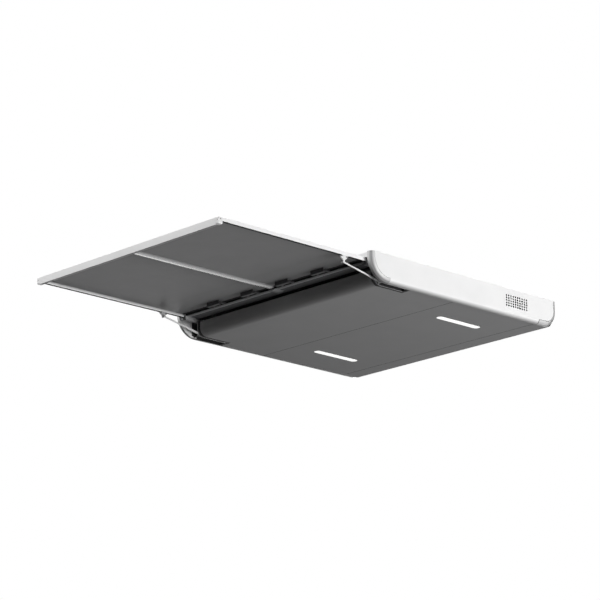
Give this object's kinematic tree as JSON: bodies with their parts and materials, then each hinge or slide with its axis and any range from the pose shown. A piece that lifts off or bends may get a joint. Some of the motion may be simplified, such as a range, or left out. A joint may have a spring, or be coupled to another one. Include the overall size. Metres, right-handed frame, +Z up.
{
  "type": "retractable solar awning",
  "caption": "Flat overhead cassette with a framed solar panel that slides out of its front mouth on rollers, steadied by slim struts, with light bars underneath and a speaker in one end.",
  "frame": {"origin": "under the middle of the whole object, level with the bottoms of the side rails, with the panel pulled out", "axes": "+X to the end with the speaker, +Y from the pulled-out panel to the back, +Z up"},
  "size_m": [1.45, 2.259, 0.14],
  "materials": {
    "shell_white": "satin white powder coat",
    "trim_white": "smooth moulded white",
    "frame_white": "satin white powder coat",
    "plate_grey": "matt grey powder coat",
    "back_sheet": "matt grey",
    "solar_glass": "dark cells under clear glass, grey back sheet",
    "bare_aluminium": "satin anodised",
    "dark_grey": "matt dark grey paint",
    "black_plastic": "matt black",
    "black_rubber": "matt black rubber",
    "light_lens": "milky diffuser",
    "circuit_board": "green solder mask",
    "battery_case": "textured grey",
    "heat_sink": "black anodised",
    "steel": "plain steel",
    "roller_grey": "nylon",
    "hinge_black": "black coat",
    "strut_grey": "satin anodised"
  },
  "bodies": {
    "cassette": {"side_rail_left": "shell_white", "side_rail_right": "shell_white", "front_corner_left": "trim_white", "front_corner_right": "trim_white", "back_corner_left": "trim_white", "back_corner_right": "trim_white", "front_plate": "plate_grey", "middle_plate": "plate_grey", "back_plate": "plate_grey", "rear_rail": "shell_white", "roof_cover": "shell_white", "roof_module_left": "solar_glass", "roof_module_right": "solar_glass", "guide_rail_left": "bare_aluminium", "guide_rail_right": "bare_aluminium", "guide_stops": "black_rubber", "light_lens_left": "light_lens", "light_lens_right": "light_lens", "light_boards": "circuit_board", "speaker_driver": "black_plastic", "battery_left": "battery_case", "battery_right": "battery_case", "battery_straps": "steel", "charge_controller": "heat_sink", "slot_liner_left": "black_plastic", "slot_liner_right": "black_plastic", "strut_track_left": "black_plastic", "strut_track_right": "black_plastic", "mouth_seal": "black_rubber", "outlet_socket": "black_plastic"},
    "carriage": {"carriage_front_bar": "bare_aluminium", "carriage_rear_bar": "dark_grey", "carriage_end_left": "bare_aluminium", "carriage_end_right": "bare_aluminium", "carriage_stub": "bare_aluminium", "carriage_covers": "dark_grey", "roller_axles": "steel", "hinge_carriage_leaves": "hinge_black", "hinge_pins": "steel"},
    "roller_front_left": {"roller_front_left": "roller_grey"},
    "roller_front_right": {"roller_front_right": "roller_grey"},
    "roller_rear_left": {"roller_rear_left": "roller_grey"},
    "roller_rear_right": {"roller_rear_right": "roller_grey"},
    "panel": {"panel_rail_left": "frame_white", "panel_rail_right": "frame_white", "panel_rear_rail": "back_sheet", "front_bar": "frame_white", "bar_cap_left": "trim_white", "bar_cap_right": "trim_white", "centre_rib": "bare_aluminium", "laminate_left": "solar_glass", "laminate_right": "solar_glass", "hinge_panel_leaves": "hinge_black", "strut_bracket_left": "strut_grey", "strut_bracket_right": "strut_grey", "panel_screws": "hinge_black"},
    "strut_left": {"strut_rod_left": "strut_grey", "strut_shoe_left": "strut_grey"},
    "strut_right": {"strut_rod_right": "strut_grey", "strut_shoe_right": "strut_grey"}
  },
  "joints": [
    {"name": "panel_slide", "type": "slide", "parent": "cassette", "child": "carriage", "axis": [0, 1, 0], "range_m": [0, 0.934]},
    {"name": "panel_tilt", "type": "hinge", "parent": "carriage", "child": "panel", "pos_m": [0, -0.2245, 0.097], "axis": [1, 0, 0], "range_deg": [0, 1.5]},
    {"name": "strut_left_fold", "type": "hinge", "parent": "panel", "child": "strut_left", "pos_m": [-0.6615, -0.3255, 0.0698], "axis": [1, 0, 0], "range_deg": [0, 11]},
    {"name": "strut_right_fold", "type": "hinge", "parent": "panel", "child": "strut_right", "pos_m": [0.6615, -0.3255, 0.0698], "axis": [1, 0, 0], "range_deg": [0, 11]},
    {"name": "roller_front_left_spin", "type": "hinge", "parent": "carriage", "child": "roller_front_left", "pos_m": [-0.68675, -0.1555, 0.0993], "axis": [1, 0, 0], "continuous": true},
    {"name": "roller_front_right_spin", "type": "hinge", "parent": "carriage", "child": "roller_front_right", "pos_m": [0.68675, -0.1555, 0.0993], "axis": [1, 0, 0], "continuous": true},
    {"name": "roller_rear_left_spin", "type": "hinge", "parent": "carriage", "child": "roller_rear_left", "pos_m": [-0.68675, -0.1005, 0.0993], "axis": [1, 0, 0], "continuous": true},
    {"name": "roller_rear_right_spin", "type": "hinge", "parent": "carriage", "child": "roller_rear_right", "pos_m": [0.68675, -0.1005, 0.0993], "axis": [1, 0, 0], "continuous": true}
  ],
  "couplings": [
    {"joint": "roller_front_left_spin", "follows": "panel_slide", "rad_per_m": -125},
    {"joint": "roller_front_right_spin", "follows": "panel_slide", "rad_per_m": -125},
    {"joint": "roller_rear_left_spin", "follows": "panel_slide", "rad_per_m": -125},
    {"joint": "roller_rear_right_spin", "follows": "panel_slide", "rad_per_m": -125}
  ]
}
